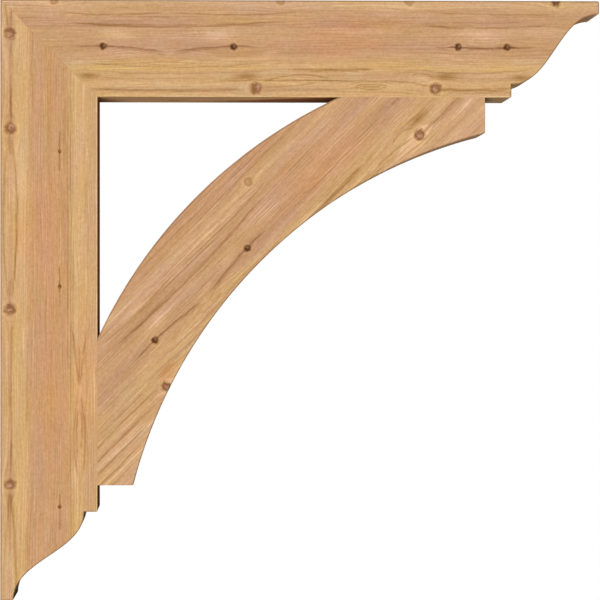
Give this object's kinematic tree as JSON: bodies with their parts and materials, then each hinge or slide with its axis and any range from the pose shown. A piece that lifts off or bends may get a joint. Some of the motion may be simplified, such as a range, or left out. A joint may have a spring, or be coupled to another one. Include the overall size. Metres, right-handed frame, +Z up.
{
  "type": "timber corbel bracket",
  "caption": "Square-sectioned timber bracket: mitred wall leg and top arm with ogee-cut ends, stiffened by a curved brace, for carrying an eave, beam or shelf.",
  "frame": {"origin": "centre of the wall face, the leg's outer face, halfway up and halfway across", "axes": "+X out from the wall along the arm, +Y across the bracket, +Z up, out of the arm's top face"},
  "size_m": [0.8636, 0.1396, 0.8636],
  "materials": {
    "cedar": "planed smooth, unfinished knotty softwood with golden and pinkish-brown bands"
  },
  "bodies": {
    "root": {"wall_leg": "cedar", "top_arm": "cedar", "curved_brace": "cedar"}
  },
  "joints": []
}
